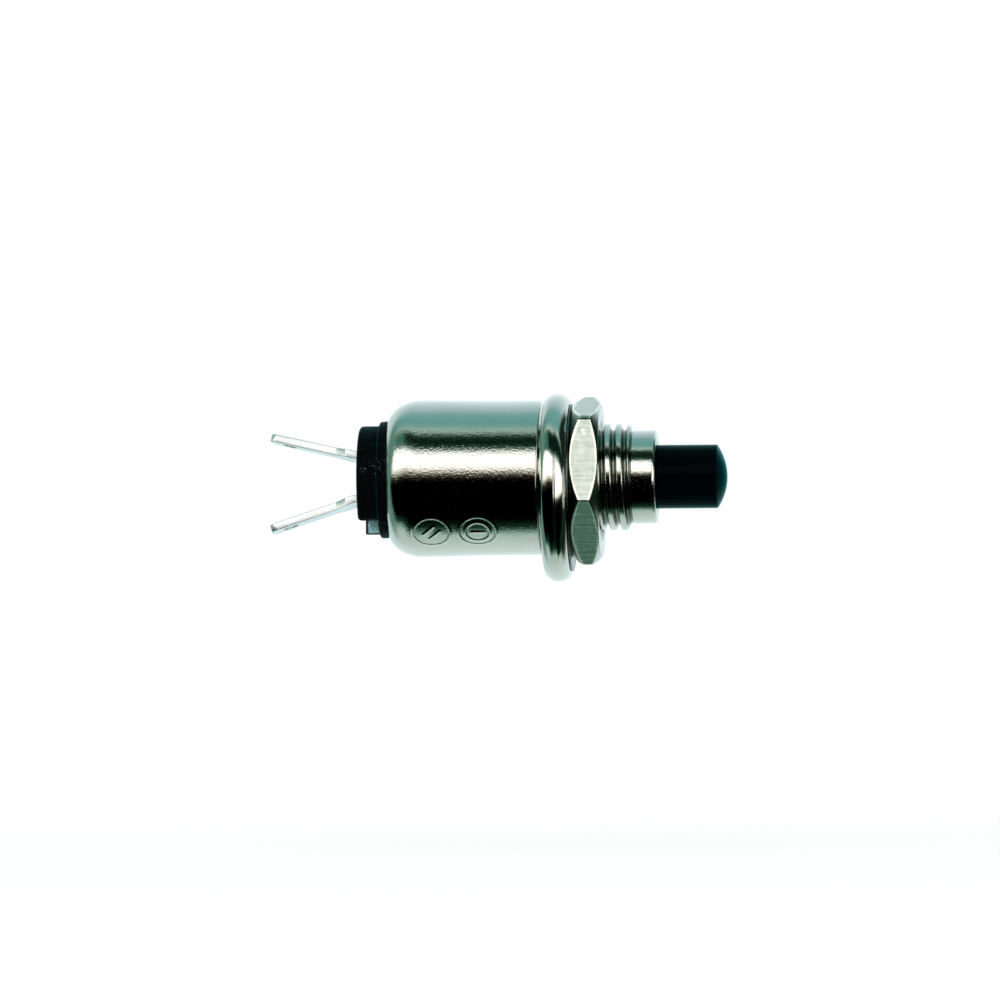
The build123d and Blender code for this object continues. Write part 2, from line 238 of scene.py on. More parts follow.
# %% [markdown]
# ## Finishes
#
# A finish is a small graph of shader nodes. Most of these metals differ in three
# things only: their tint, how rough they are, and the tiny relief that breaks up a
# reflection. The patterns read Object coordinates, which are metres in the shared
# frame, so a scale of 5000 makes grains of about a fifth of a millimetre.

# %% Shader helpers


class Wires:
    """A node tree, with short ways to add a node and join sockets."""

    def __init__(self, tree):
        self.nodes, self.links = tree.nodes, tree.links

    def feed(self, socket, value):
        """Join a socket to another one, or set it to a number or a colour."""
        if isinstance(value, bpy.types.NodeSocket):
            self.links.new(value, socket)
        elif value is not None:
            socket.default_value = value

    def add(self, kind, *inputs, **values):
        """Add a node, set its named attributes or sockets, and feed its first inputs."""
        node = self.nodes.new(kind)
        for key, value in values.items():
            if key in node.inputs:
                node.inputs[key].default_value = value
            else:
                setattr(node, key, value)
        for socket, value in zip(node.inputs, inputs):
            self.feed(socket, value)
        return node

    def axes(self, vector):
        """The x, y and z of a vector, as three sockets."""
        return self.add("ShaderNodeSeparateXYZ", vector).outputs

    def maths(self, operation, *inputs):
        """An arithmetic node on sockets and numbers."""
        return self.add("ShaderNodeMath", *inputs, operation=operation).outputs[0]

    def times(self, first, second):
        """The product of two values: for two shares, where both hold."""
        return self.maths("MULTIPLY", first, second)

    def ramp(self, value, low, high, start=0.0, end=1.0):
        """A value between start and end, carried in a straight line to low and high."""
        return self.add("ShaderNodeMapRange", value, start, end, low, high).outputs[0]

    def step(self, value, start, end):
        """A smooth rise from 0 at start to 1 at end."""
        return self.add("ShaderNodeMapRange", value, start, end, 0.0, 1.0,
                        interpolation_type="SMOOTHSTEP").outputs[0]

    def fade(self, value, start, end):
        """A smooth fall from 1 at start to 0 at end."""
        return self.maths("SUBTRACT", 1.0, self.step(value, start, end))

    def blend(self, share, first, second, how="MIX"):
        """Mix two colours or colour sockets by a share, or keep the lighter of the two."""
        node = self.add("ShaderNodeMix", data_type="RGBA", blend_type=how)
        self.feed(node.inputs["Factor"], share)
        sockets = [socket for socket in node.inputs if socket.type == "RGBA"]
        for socket, value in zip(sockets, (first, second)):
            self.feed(socket, (*value, 1) if isinstance(value, tuple) else value)
        return [socket for socket in node.outputs if socket.type == "RGBA"][0]


class Graph(Wires):
    """The node tree of a new material."""

    def __init__(self, name):
        self.material = bpy.data.materials.new(name)
        self.material.use_nodes = True
        super().__init__(self.material.node_tree)
        self.shader = self.nodes["Principled BSDF"]

    def set(self, **values):
        """Feed the shader's own sockets, with _ for a space in their names."""
        for key, value in values.items():
            self.feed(self.shader.inputs[key.replace("_", " ")], value)

    def mark(self, name):
        """A value that the mesh carries as a named attribute."""
        return self.add("ShaderNodeAttribute", attribute_name=name).outputs["Fac"]

    def place(self, stretch=(1, 1, 1)):
        """Object coordinates, stretched by a Mapping node."""
        spot = self.add("ShaderNodeTexCoord").outputs["Object"]
        return self.add("ShaderNodeMapping", spot, Scale=stretch).outputs["Vector"]

    def noise(self, vector, scale, detail=2.0, roughness=0.5):
        """Soft random patches, about scale of them to the metre."""
        node = self.add(
            "ShaderNodeTexNoise", vector, Scale=scale, Detail=detail, Roughness=roughness)
        return node.outputs["Fac"]

    def bump(self, height, depth, below=None):
        """Relief of the given depth in metres, laid over another relief if one is given."""
        node = self.add("ShaderNodeBump", Strength=1.0, Distance=depth)
        self.feed(node.inputs["Height"], height)
        self.feed(node.inputs["Normal"], below)
        return node.outputs["Normal"]


CLOUDS = 600.0  # tint clouds to the metre


def plated(name, pale, dark, rough, grain, depth, stretch=(1, 1, 1), fine=None,
           groove_shade=None, lean=0.0):
    """A plated metal: two close tints in soft clouds, a roughness range and a grained relief.

    fine adds a second relief, (scale, depth, stretch), for machining lines. groove_shade is
    the tint of painted shade, laid where the mesh marks a point as deep in the "groove".
    lean is the slope by which upright faces tip upward: a relief whose height falls as z rises.
    """
    graph = Graph(name)
    clouds = graph.noise(graph.place(), CLOUDS, detail=3.0)
    colour = graph.blend(clouds, dark, pale)
    # the groove tint is painted shade: the deep part of the thread is darkened
    if groove_shade:
        colour = graph.blend(graph.mark("groove"), colour, groove_shade)
    relief = graph.bump(graph.noise(graph.place(stretch), grain, roughness=0.6), depth)
    if fine:
        scale, fine_depth, fine_stretch = fine
        lines = graph.noise(graph.place(fine_stretch), scale, detail=3.0, roughness=0.7)
        relief = graph.bump(lines, fine_depth, below=relief)
    if lean:
        fall = graph.times(graph.axes(graph.place())[2], -1.0)
        relief = graph.bump(fall, lean, below=relief)
    graph.set(Metallic=1.0, Base_Color=colour, Normal=relief)
    graph.set(Roughness=graph.ramp(clouds, *rough, 0.3, 0.7))
    return graph.material


# %% [markdown]
# The can is drawn brass under satin nickel. Plating over a drawn surface keeps a faint
# orange peel, which gives its reflections a sandy edge. Turned pieces have fine rings
# instead, and a milled nut has fine straight lines. All are the same noise, stretched
# in another direction. The thread's grooves get painted shade, a darker tint where they
# are deep. The lugs are tinned, which leaves a soft, slightly lumpy skin, and blanking
# leaves their cut edges leaning a little.

# %% Metal finishes
finishes = {}
PALE = (0.78, 0.76, 0.70)
DARK = (0.68, 0.66, 0.59)
ROUND_X = (14, 1, 1)  # short along the axis, so lines run round it
ALONG_X = (1, 14, 14)  # long along the axis
finishes["nickel_can"] = plated(
    "satin_nickel", PALE, DARK, (0.05, 0.09), 8000, 1.15e-5, fine=(3600, 3e-6, (0.5, 1, 1)))
# the bush's groove tint is painted shade in the thread's grooves
finishes["nickel_bush"] = plated(
    "turned_nickel", PALE, DARK, (0.08, 0.14), 8000, 6e-6, fine=(1500, 1.5e-6, ROUND_X),
    groove_shade=(0.20, 0.23, 0.18))
finishes["ring_plate"] = plated(
    "bright_nickel", PALE, DARK, (0.05, 0.10), 3600, 4e-6, fine=(900, 1e-6, ROUND_X))
finishes["washer_steel"] = plated(
    "blued_spring_steel", (0.16, 0.20, 0.18), (0.09, 0.12, 0.11), (0.16, 0.3), 4000, 4e-6)
finishes["tinned_strip"] = plated(
    "tinned_strip", (0.95, 0.97, 0.96), (0.88, 0.91, 0.90), (0.32, 0.42), 900, 3e-6, lean=0.10)
finishes["silver"] = plated(
    "contact_silver", (0.93, 0.92, 0.88), (0.85, 0.83, 0.78), (0.15, 0.3), 3000, 3e-6)
finishes["bridge_brass"] = plated(
    "blanked_brass", (0.80, 0.62, 0.32), (0.70, 0.52, 0.25), (0.2, 0.35), 1500, 4e-6,
    stretch=(1, 1, 6))
finishes["spring_steel"] = plated(
    "spring_wire", (0.60, 0.60, 0.61), (0.48, 0.48, 0.49), (0.2, 0.32), 2500, 3e-6)
print("plated finishes:", ", ".join(finishes))

# %% [markdown]
# The nut's flats keep the straight lines of the bar it was cut from, and tumbling in
# the plating barrel has burnished the rim of each flat. The nut's mesh carries that rim
# as an attribute, and the finish reads it: there the metal is smoother, and a pale golden
# tint paints in a bright highlight along the rim as well. The turned faces and chamfers
# are a second attribute, cut, and have a plain even tint.

# %% Nut finish


def milled_nut():
    """Dull milled flats with fine lines along the axis, and rubbed rims with a painted highlight.
    """
    graph = Graph("milled_nickel")
    rim, cut_face = graph.mark("burnish"), graph.mark("cut")
    clouds = graph.noise(graph.place(), 900.0, detail=4.0)
    ragged = graph.maths("ADD", rim, graph.ramp(clouds, -0.5, 0.5, 0.3, 0.7))
    rubbed_and_highlit = graph.ramp(graph.maths("SUBTRACT", ragged, cut_face), 0.0, 1.0, 0.3, 0.6)
    scores = graph.noise(graph.place(ALONG_X), 420.0, detail=5.0, roughness=0.75)
    mottle = graph.noise(graph.place((4, 1, 1)), 700.0, detail=4.0, roughness=0.7)
    marked = graph.maths("ADD", graph.ramp(scores, 0.0, 0.6, 0.34, 0.66),
                         graph.ramp(mottle, 0.0, 0.4, 0.3, 0.7))
    milled = graph.blend(marked, (0.29, 0.35, 0.285), (0.60, 0.61, 0.54))
    dull = graph.blend(cut_face, milled, (0.50, 0.53, 0.47))
    relief = graph.bump(graph.noise(graph.place(), 5200), 3e-6)
    relief = graph.bump(scores, 4.5e-6, below=relief)
    # the pale golden rim tint is partly burnish, partly a painted highlight
    graph.set(Metallic=1.0, Base_Color=graph.blend(rubbed_and_highlit, dull, (0.93, 0.88, 0.72)))
    graph.set(Roughness=graph.ramp(rubbed_and_highlit, 0.11, 0.12), Normal=relief)
    return graph.material


finishes["nickel_nut"] = milled_nut()

# %% [markdown]
# The base is moulded phenolic, matt black. Bits of its filler lie flat in the skin and
# glint where they face the light, so the flecks here are smooth and metallic, and stay
# dark everywhere else. The key's near side carries a painted highlight: a ragged pale
# cyan patch, smoother and partly metallic. Its skin slopes a little, so it is given a
# relief that falls with height. A touch of sheen greens the edges of both black
# mouldings. The sleeve inside is rolled fibre paper.

# %% Moulded finishes
SHEEN_TINT = (0.0, 0.60, 0.64, 1)
GLINT_FOOT, GLINT_TOP = -0.0035, -0.0027  # heights in metres between which its skin slopes
GLINT_SLOPE = 1.9e-4  # metres that the skin falls between them


def phenolic():
    """Black moulding: a matt relief, sparse smooth flecks of filler, and a painted highlight
    patch.
    """
    graph = Graph("black_phenolic")
    place = graph.place()
    cells = graph.add("ShaderNodeTexVoronoi", place, Scale=9000.0)
    fleck = graph.ramp(cells.outputs["Distance"], 1.0, 0.0, 0.12, 0.25)
    patches = graph.ramp(graph.noise(place, 1800), 0.0, 1.0, 0.44, 0.56)
    sparse = graph.times(fleck, patches)
    flecked = graph.blend(sparse, (0.0002, 0.0007, 0.0010), (0.08, 0.17, 0.21))
    # the key's pale cyan patch is a painted highlight, with a ragged edge
    gate = graph.mark("gate")
    torn_glint = graph.times(gate, graph.ramp(graph.noise(place, 3200), 0.6, 1.0, 0.3, 0.6))
    glint = graph.ramp(sparse, 0.0, 1.0, 0.0, 0.25)
    shine = graph.maths("MAXIMUM", glint, graph.ramp(torn_glint, 0.0, 0.5))
    matt = graph.ramp(sparse, 0.7, 0.18, 0.0, 0.25)
    rough = graph.maths("SUBTRACT", matt, graph.ramp(torn_glint, 0.0, 0.35))
    fall = graph.ramp(graph.axes(place)[2], 1.0, 0.0, GLINT_FOOT, GLINT_TOP)
    relief = graph.bump(graph.noise(place, 5200), 2.5e-6)
    relief = graph.bump(graph.times(gate, fall), GLINT_SLOPE, below=relief)
    graph.set(Base_Color=graph.blend(torn_glint, flecked, (0.55, 1.0, 0.98)), Metallic=shine)
    graph.set(Roughness=rough, Normal=relief, Specular_IOR_Level=0.05)
    graph.set(Sheen_Weight=0.3, Sheen_Roughness=0.3, Sheen_Tint=SHEEN_TINT)
    return graph.material


def moulded_button():
    """Smooth black plastic with a very shallow ripple and faint handling marks."""
    graph = Graph("black_button")
    graph.set(Base_Color=(0.0002, 0.0006, 0.0009, 1), Specular_IOR_Level=0.012)
    graph.set(Sheen_Weight=0.75, Sheen_Roughness=0.3, Sheen_Tint=SHEEN_TINT)
    marks = graph.noise(graph.place(), 1200, detail=4.0)
    graph.set(Roughness=graph.ramp(marks, 0.16, 0.28, 0.35, 0.75))
    graph.set(Normal=graph.bump(graph.noise(graph.place(), 2600), 3e-6))
    return graph.material


def fibre_paper():
    """Tan paper with long fibres along the axis."""
    graph = Graph("fibre_paper")
    fibres = graph.noise(graph.place((1, 6, 6)), 900, detail=4.0)
    graph.set(Base_Color=graph.blend(fibres, (0.34, 0.27, 0.16), (0.48, 0.41, 0.28)))
    graph.set(Roughness=0.8, Normal=graph.bump(fibres, 1e-5))
    return graph.material


finishes["phenolic"] = phenolic()
finishes["button_plastic"] = moulded_button()
finishes["fish_paper"] = fibre_paper()
print("all finishes:", len(finishes))

# %% [markdown]
# The record names a material slot for every node. Each CAD piece takes the finish of its
# slot here. A surface that is made later, to stand for a node, takes the same finish,
# hides the node and moves with the node's body.

# %% Finishes on the CAD nodes
slot_of = {part["node"]: part["material_slot"] for part in frame["record"]["subparts"]}
for node, obj in frame["nodes"].items():
    obj.data.materials.clear()
    obj.data.materials.append(finishes[slot_of[node]])
print(len(slot_of), "nodes have a finish")


def stand_for(obj, node):
    """Stand for a CAD node: take the finish of its slot and hide the node."""
    obj.data.materials.append(finishes[slot_of[node]])
    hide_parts(node)
    return obj


def dress(obj, node, body):
    """The piece stands for a CAD node, and moves with a body."""
    stand_for(obj, node)
    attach(obj, body)
    return obj


# %% [markdown]
# ## The can
#
# The can is one deep drawn cup. Its rear is swollen a little, drawn in and spun over
# the base with a round corner. Its outline is the same as the solid's: two straight
# stretches, a gentle arc that is tangent to them, and a corner arc that ends at the
# rear opening. Working the curve out as a formula gives smooth reflections.

# %% Can outline
CAN_REAR_RADIUS = node_box("can")[1][2]
CAN_SWELL, SWELL_START, SWELL_END = 0.07, 3.2, 7.6
CAN_RADIUS = CAN_REAR_RADIUS - CAN_SWELL
CAN_LENGTH = 10.24
CAN_WALL = 0.35
CAN_STRAIGHT = 3.6
TAPER_LENGTH, TAPER_DROP = 1.3, 0.31
REAR_CORNER = 1.8
REAR_OPENING = 3.92
THREAD_RADIUS = 3.5
THREAD_HOLE = THREAD_RADIUS + 0.03
taper_turn = 2 * np.arctan(TAPER_DROP / TAPER_LENGTH)
corner_centre_x = -CAN_LENGTH + REAR_CORNER
corner_centre_r = CAN_REAR_RADIUS - TAPER_DROP - REAR_CORNER * np.cos(taper_turn)
taper_end = corner_centre_x - REAR_CORNER * np.sin(taper_turn)
taper_start = taper_end + TAPER_LENGTH
taper_radius = (TAPER_LENGTH**2 + TAPER_DROP**2) / (2 * TAPER_DROP)
print("the can draws in from x =", round(taper_start, 2), "mm")


def can_rear(inset, steps):
    """The can's rear outline, moved inward by an inset: x and r as two arrays.

    First the taper, an arc of the taper radius below its start, then the corner, an arc
    round the corner's centre until r reaches the rear opening. Both radii lose the inset.
    """
    lean = np.linspace(0, taper_turn, steps)
    x_taper = taper_start - (taper_radius - inset) * np.sin(lean)
    r_taper = CAN_REAR_RADIUS - taper_radius + (taper_radius - inset) * np.cos(lean)
    last = np.arccos((REAR_OPENING - corner_centre_r) / (REAR_CORNER - inset))
    lean = np.linspace(taper_turn, last, 2 * steps)[1:]
    x_corner = corner_centre_x - (REAR_CORNER - inset) * np.sin(lean)
    r_corner = corner_centre_r + (REAR_CORNER - inset) * np.cos(lean)
    return np.concatenate([x_taper, x_corner]), np.concatenate([r_taper, r_corner])


# %% [markdown]
# Two small round stamps are pressed into the can's side. They are plain marks: a ring
# with two slanted strokes, and two rings round a bar. Each is a relief, a height that
# depends on the distance from the mark's centre, measured on the unrolled wall. The
# grid gets closer lines there so that the raised lines stay crisp.

# %% Stamps
STAMP_ANGLE = np.radians(-44.1)
STAMP_HEIGHT = 0.036
STAMP_LINE = 0.08
STROKES_AT, STROKES_RING = -7.07, 1.22
STROKE_LENGTH, STROKE_OFF_MIDDLE = 1.0, 0.28
BAR_AT, BAR_LENGTH = -4.04, 0.8
BAR_OUTER_RING, BAR_INNER_RING = 1.25, 0.82


def ridge(distance):
    """A raised line: a bell curve of the distance from its middle."""
    return np.exp(-((distance / STAMP_LINE) ** 2))


def stroke(u, v, length):
    """A raised straight stroke along u, with round ends."""
    return ridge(np.hypot(np.maximum(np.abs(u) - length / 2, 0), v))


def stamps(x, arc):
    """Height of both stamps at x and at an arc length round the can, in millimetres."""
    u, v = x - STROKES_AT, arc
    slant_u, slant_v = (u + v) / np.sqrt(2), (u - v) / np.sqrt(2)
    first = np.max([
        ridge(np.hypot(u, v) - STROKES_RING),
        stroke(slant_u, slant_v - STROKE_OFF_MIDDLE, STROKE_LENGTH),
        stroke(slant_u, slant_v + STROKE_OFF_MIDDLE, STROKE_LENGTH)], axis=0)
    u = x - BAR_AT
    second = np.max([
        ridge(np.hypot(u, v) - BAR_OUTER_RING), ridge(np.hypot(u, v) - BAR_INNER_RING),
        stroke(u, v, BAR_LENGTH)], axis=0)
    return STAMP_HEIGHT * (first + second)


print("the stamps' lines stand", STAMP_HEIGHT, "mm proud")

# %% [markdown]
# The can's profile runs from the hole in its front out to the wall, back along it, round
# the rear and forward again inside, so the skin is closed and has a real thickness. The
# stamps are added to the radius of the outside only.

# %% Can skin
FRONT_EDGE = 0.15
FAR = 4  # an arc length at which no stamp is left
STAMP_COLUMNS, PLAIN_COLUMNS = 68, 190
edge = np.linspace(0, np.pi / 2, 9)
front_x = np.concatenate([[0, 0], -FRONT_EDGE + FRONT_EDGE * np.cos(edge), [-FRONT_EDGE - GUARD]])
front_r = np.concatenate(
    [[THREAD_HOLE, CAN_RADIUS - FRONT_EDGE - GUARD],
     CAN_RADIUS - FRONT_EDGE + FRONT_EDGE * np.sin(edge), [CAN_RADIUS]])
FEW_LINES, STAMP_LINES = (-0.4, -2.6, 12), (-2.7, -8.4, 128)  # from, to and count
wall_x = np.concatenate([np.linspace(*FEW_LINES), np.linspace(*STAMP_LINES)])
before_taper = wall_x[wall_x > taper_start + 0.02]
swell = smooth_step(-before_taper, SWELL_START, SWELL_END)
wall_r = CAN_RADIUS + (CAN_REAR_RADIUS - CAN_RADIUS) * swell
rear_x, rear_r = can_rear(0, 30)
lip_x, lip_r = can_rear(CAN_WALL, 12)
inner_x = np.concatenate([lip_x[::-1], [-CAN_STRAIGHT, -CAN_WALL - GUARD, -CAN_WALL, -CAN_WALL]])
inner_r = np.concatenate([lip_r[::-1], [CAN_RADIUS - CAN_WALL] * 3, [THREAD_HOLE]])
can_x = np.concatenate([front_x, before_taper, rear_x, inner_x])
can_r = np.concatenate([front_r, wall_r, rear_r, inner_r])
outside = np.ones(len(can_x))
outside[-len(inner_x):] = 0
stamp_span = np.radians(17)
angles = np.concatenate(
    [STAMP_ANGLE + np.linspace(-stamp_span, stamp_span, STAMP_COLUMNS),
     STAMP_ANGLE + np.linspace(stamp_span, 2 * np.pi - stamp_span, PLAIN_COLUMNS)[1:-1]])
arc = np.minimum((angles[:, None] - STAMP_ANGLE) * CAN_REAR_RADIUS, FAR)
grid = turned(pairs(can_x, can_r + outside * stamps(can_x[None], arc)), angles)
dress(skin("can_shell", grid, sharp=50), "can", "housing")

# %% [markdown]
# ## The threaded bush
#
# The bush is turned brass with a fine right-hand thread, M7 by 0.75, and a plain nose.
# A thread is a wave in the radius that moves one pitch along for each turn: its phase
# is x / pitch minus angle / turn. The wave has a flat crest and a rounded root, and a
# chamfer at the end lets it run out. How deep a point lies in the thread is kept as an
# attribute, so that the finish can paint shade into the grooves, darker where they are deep.

# %% Bush skin
BUSH_BORE = 2.14
BUSH_FLANGE, FLANGE_FRONT, FLANGE_BACK = node_box("threaded_bush")[1][2], -0.38, -1.38
NOSE_RADIUS, NOSE_LIP = 3.05, 0.09
NOSE_START, NOSE_END, NOSE_EDGE, NOSE_MOUTH = 6.0, 7.55, 0.22, 2.55
THREAD_START, THREAD_END = 0.02, 5.85
PITCH, THREAD_DEPTH = 0.75, 0.38
RUN_OUT, RUN_OUT_DEPTH = 0.32, 0.14  # length and depth of the chamfer at the thread's end
THREAD_PHASE = 5.06  # where a crest passes over the top
CREST_FALL = 0.02  # how much lower the crest's line is at the root
CURVE_START, CURVE_END = 0.36, 0.86  # the stretch of the wave where the flank is a curve
LINE_START, LINE_LENGTH = 0.46, 0.34  # and where it is a line
GROOVE_WALL = 0.04  # length of each wall of the turned groove


def thread_radius(x, angle):
    """Radius of the thread, and of the turned groove and the nose in front of it.

    The phase is x over the pitch, less the angle over a full turn. The wave is how far
    a point is from the nearest crest, 0 on it and 1 in the root. The flank falls over
    the middle of the wave, 0.6 of it as an S-shaped curve and 0.4 as a straight line.
    """
    phase = (x - THREAD_PHASE) / PITCH - (np.pi / 2 - angle) / (2 * np.pi)
    wave = 2 * np.abs(phase - np.round(phase))
    line = np.clip((wave - LINE_START) / LINE_LENGTH, 0, 1)
    flank = 0.6 * smooth_step(wave, CURVE_START, CURVE_END) + 0.4 * line
    thread = THREAD_RADIUS - CREST_FALL * wave - THREAD_DEPTH * flank
    fade = smooth_step(x, THREAD_END - RUN_OUT, THREAD_END)
    thread = thread * (1 - fade) + np.minimum(thread, THREAD_RADIUS - RUN_OUT_DEPTH) * fade
    groove = smooth_step(x, THREAD_END, THREAD_END + GROOVE_WALL)
    back = smooth_step(x, NOSE_START - GROOVE_WALL, NOSE_START)
    return thread + (NOSE_RADIUS - NOSE_LIP - thread) * groove + NOSE_LIP * back


rear_part = rounded([
    (FLANGE_FRONT, THREAD_RADIUS, 0.0), (FLANGE_FRONT, BUSH_FLANGE, 0.08),
    (FLANGE_BACK, BUSH_FLANGE, 0.08), (FLANGE_BACK, BUSH_BORE, 0.05),
    (NOSE_END - 0.3, BUSH_BORE, 0.1), (NOSE_END, NOSE_MOUTH, 0.08),
    (NOSE_END, NOSE_RADIUS, NOSE_EDGE), (NOSE_START + 0.1, NOSE_RADIUS, 0.0)], closed=False)
angles = around(168)
plain = np.broadcast_to(rear_part, (len(angles), *rear_part.shape))
run_out = np.linspace(NOSE_START, THREAD_END, 16)[:-1]
thread_x = np.concatenate([run_out, np.linspace(THREAD_END, THREAD_START, 230)])
wave = pairs(thread_x, thread_radius(thread_x, angles[:, None]))
grid = turned(np.concatenate([plain, wave], axis=1), angles)
# how deep each point lies in the thread: the mask of the painted groove shade
depth = smooth_step(THREAD_RADIUS - wave[..., 1], 0.06, 0.30) * (thread_x < NOSE_START - 0.02)
groove = np.concatenate([np.zeros(plain.shape[:2]), depth], axis=1)
dress(skin("bush", grid, sharp=50, groove=groove), "threaded_bush", "housing")

# %% [markdown]
# ## The loose pieces
#
# The dress ring, the lock washer and the nut hang on the thread with some play, so
# their middles sit below the axis. Each is made round its own middle and then moved to
# the middle of its CAD node, so it hangs just as low as the solid does.

# %% Hanging
# How far below the axis each loose piece hangs: half of what its bore is wider than
# the thread, less a thin gap.
LOOSE_DROP = {"dress_ring": -0.67, "lock_washer": -0.67, "hex_nut": -0.22}


def hang(grid, node):
    """Move a grid so that its own middle comes to the node's middle, below the axis."""
    low, high = node_box(node)
    return grid + [(low[0] + high[0]) / 2, 0, LOOSE_DROP[node]]


# %% [markdown]
# The dress ring has a crowned rim. Its profile is one arc across the width, with the
# faint crease of the roll a little off the middle. The crown gathers both windows of
# the studio, which is why it carries two bright lenses side by side.

# %% Dress ring
RING_WIDTH, RING_RADIUS, RING_DROP, RING_BORE = 1.70, 6.165, 0.48, 4.2
CREASE_AT, CREASE_DEPTH, CREASE_WIDTH = 0.12, 0.006, 0.05
RING_EDGE = 0.03
ring_half = RING_WIDTH / 2
crown_radius = (ring_half**2 + RING_DROP**2) / (2 * RING_DROP)
rim_x = np.linspace(-ring_half + RING_EDGE, ring_half - RING_EDGE, 90)
rim_r = RING_RADIUS - crown_radius + np.sqrt(crown_radius**2 - rim_x**2)
rim_r -= CREASE_DEPTH * np.exp(-(((rim_x - CREASE_AT) / CREASE_WIDTH) ** 2))
body = rounded([
    (ring_half - RING_EDGE / 2, rim_r[-1] - 0.02, 0.0), (ring_half, rim_r[-1] - 0.1, 0.04),
    (ring_half, RING_BORE, 0.06), (-ring_half, RING_BORE, 0.06),
    (-ring_half, rim_r[0] - 0.1, 0.04), (-ring_half + RING_EDGE / 2, rim_r[0] - 0.02, 0.0)],
    closed=False)
profile = np.concatenate([pairs(rim_x, rim_r), body])
grid = hang(turned(profile, around(288)), "dress_ring")
dress(skin("dress_ring_skin", grid), "dress_ring", "housing")

# %% [markdown]
# The lock washer is a thin flat ring of spring steel. Only its rim shows between the
# ring and the nut, so a rounded rectangle carried round the axis is enough.

# %% Lock washer
washer_half, WASHER_RADIUS, WASHER_BORE = 0.05, 5.5, 4.2
profile = rounded([
    (washer_half, WASHER_RADIUS, 0.03), (washer_half, WASHER_BORE, 0.03),
    (-washer_half, WASHER_BORE, 0.03), (-washer_half, WASHER_RADIUS, 0.03)])
grid = hang(turned(profile, around(192)), "lock_washer")
dress(skin("washer_skin", grid), "lock_washer", "housing")

# %% [markdown]
# The nut is a hexagon cut by a cone on each face, which gives each flat its arched
# outline. In polar form it is a lesser-of: at angle a and place x the radius is the
# least of the two nearest flats and the two cones. A blend of a few hundredths of a
# millimetre, where two of them meet, rounds the edges as tumbling does. One corner, at
# the upper near side, is worn rounder than the rest. How far apart flats and cones lie
# also gives the marks for the finish: the rim of each flat, and the turned faces.

# %% Nut skin
ACROSS_FLATS, NUT_THICKNESS, FLAT_ANGLE = 10.0, 1.88, np.radians(17)
FRONT_FACE, FRONT_SLOPE = 5.0, np.radians(33.5)
REAR_FACE, REAR_SLOPE = 4.95, np.radians(39.5)
NUT_BORE, BORE_CHAMFER = 3.75, 0.3
EDGE_BLEND, CONE_BLEND, CUT_BLEND = 0.06, 0.05, 0.05
WORN_MORE, WORN_SPAN = 0.2, 0.3  # extra blend at the worn corner, and its span in radians
RIM_AT, RIM_WIDTH = 0.03, 0.17
SIDE_POINTS, FLAT_POINTS = 92, 80
SIXTH = np.pi / 3
nut_half = NUT_THICKNESS / 2


def nut_surfaces(x, angle):
    """Radius of the hexagon's two nearest flats, rounded where they meet, and of the cones."""
    off_flat = (angle - FLAT_ANGLE + SIXTH / 2) % SIXTH - SIXTH / 2
    flat = ACROSS_FLATS / 2 / np.cos(off_flat)
    neighbour = ACROSS_FLATS / 2 / np.cos(SIXTH - np.abs(off_flat))
    corner = angle - FLAT_ANGLE - SIXTH / 2
    worn = EDGE_BLEND + WORN_MORE * np.exp(-((corner / WORN_SPAN) ** 2))
    hexagon = smooth_min(flat, neighbour, worn) + 0 * x
    front = FRONT_FACE + (nut_half - x) / np.tan(FRONT_SLOPE)
    rear = REAR_FACE + (x + nut_half) / np.tan(REAR_SLOPE)
    return hexagon, smooth_min(front, rear, CONE_BLEND)


side = np.sin(np.linspace(-np.pi / 2, np.pi / 2, SIDE_POINTS)) * nut_half
step = np.sin(np.linspace(-np.pi / 2, np.pi / 2, FLAT_POINTS, endpoint=False)) * SIXTH / 2
flat_turns = (FLAT_ANGLE + np.arange(6)[:, None] * SIXTH + step[None]).ravel()
hexagon, cones = nut_surfaces(side, flat_turns[:, None])
outer = pairs(side, smooth_min(hexagon, cones, EDGE_BLEND))
# the rim of each flat: where the finish paints its highlight and burnish
rim = np.exp(-(((cones - hexagon - RIM_AT) / RIM_WIDTH) ** 2))
turned_face = smooth_step(hexagon - cones, -CUT_BLEND, CUT_BLEND)
inner = rounded([
    (nut_half, FRONT_FACE - 0.1, 0.0), (nut_half, NUT_BORE + BORE_CHAMFER, 0.04),
    (nut_half - BORE_CHAMFER, NUT_BORE, 0.04), (-nut_half + BORE_CHAMFER, NUT_BORE, 0.04),
    (-nut_half, NUT_BORE + BORE_CHAMFER, 0.04), (-nut_half, REAR_FACE - 0.1, 0.0)], closed=False)
inner = np.broadcast_to(inner, (len(flat_turns), *inner.shape))
grid = turned(np.concatenate([outer, inner], axis=1), flat_turns)
inside = np.zeros(inner.shape[:2])
rim = np.concatenate([rim, inside], axis=1)
turned_face = np.concatenate([turned_face, inside + 1], axis=1)
nut = skin("nut_skin", hang(grid, "hex_nut"), sharp=50, burnish=rim, cut=turned_face)
dress(nut, "hex_nut", "housing")

# %% [markdown]
# ## The button
#
# The button is one moulding. Its visible end is a plain stem with a shallow dome and a
# crisp corner; inside are the shoulder that stops it and the hub for the contact
# bridge. The dome is a cap of a sphere, whose radius follows from its height and width.

